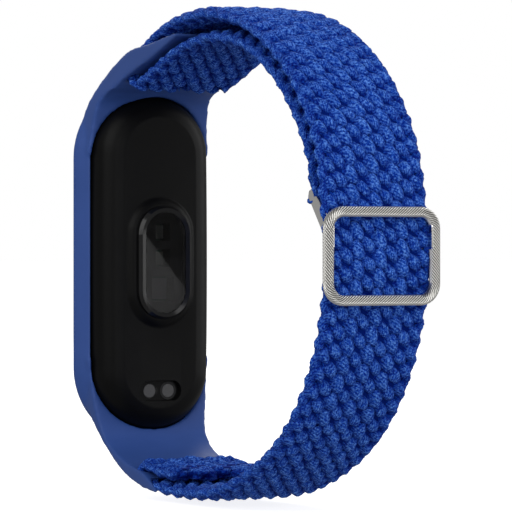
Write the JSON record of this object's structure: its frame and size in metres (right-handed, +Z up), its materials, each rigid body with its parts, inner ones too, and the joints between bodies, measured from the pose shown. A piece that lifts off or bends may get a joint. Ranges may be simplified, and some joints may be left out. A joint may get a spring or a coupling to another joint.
{
  "type": "fitness tracker band",
  "caption": "Wrist band with a pill-shaped tracker in a silicone holder and a flat braided elastic strap closed by a sliding metal buckle.",
  "frame": {"origin": "centre of the wrist opening, which is the centre of the strap's right-hand arc, midway across the strap", "axes": "+Y along the wrist through the opening, +X from the tracker towards the buckle, +Z up the length of the tracker"},
  "size_m": [0.0686, 0.0206, 0.0646],
  "materials": {
    "silicone": "matte",
    "braid": "matte",
    "thread": "matte",
    "buckle_metal": "satin",
    "shell_plastic": "matte",
    "rim_plastic": "gloss",
    "glass": "gloss",
    "panel": "gloss",
    "foam": "matte",
    "board": "satin",
    "flex": "satin",
    "tin": "satin",
    "chip": "matte",
    "ceramic_chip": "satin",
    "battery_foil": "satin",
    "steel": "satin",
    "tungsten": "satin",
    "led": "gloss",
    "diode": "gloss",
    "contact_metal": "satin"
  },
  "bodies": {
    "root": {"holder": "silicone", "strap_main": "braid", "strap_return": "braid", "strap_fold": "braid", "lug_stitching": "thread"},
    "capsule": {"back_shell": "shell_plastic", "mid_frame": "shell_plastic", "front_glass": "glass", "display_panel": "panel", "display_gasket": "foam", "display_flex": "flex", "main_board": "board", "shield_can": "tin", "motion_sensor_chip": "chip", "radio_antenna": "ceramic_chip", "battery_cell": "battery_foil", "battery_protection_board": "board", "motor_case": "tin", "motor_shaft": "steel", "sensor_board": "board", "sensor_leds": "led", "sensor_photodiode": "diode", "sensor_light_wall": "chip", "sensor_ring": "rim_plastic", "sensor_window": "glass", "charging_contacts": "contact_metal", "contact_seals": "foam", "charging_magnets": "steel", "shell_gasket": "foam"},
    "rotor": {"motor_rotor": "tungsten"},
    "buckle": {"buckle_frame": "buckle_metal", "buckle_bar": "buckle_metal", "strap_end_loop": "braid", "buckle_stitching": "thread"}
  },
  "joints": [
    {"name": "capsule_release", "type": "slide", "parent": "root", "child": "capsule", "axis": [-1, 0, 0], "range_m": [0, 0.018]},
    {"name": "rotor_spin", "type": "hinge", "parent": "capsule", "child": "rotor", "pos_m": [-0.032, 0, 0.0157], "axis": [1, 0, 0], "continuous": true},
    {"name": "buckle_slide", "type": "hinge", "parent": "root", "child": "buckle", "pos_m": [0, 0, 0], "axis": [0, 1, 0], "range_deg": [0, 24], "deforming": ["strap_return"]}
  ]
}
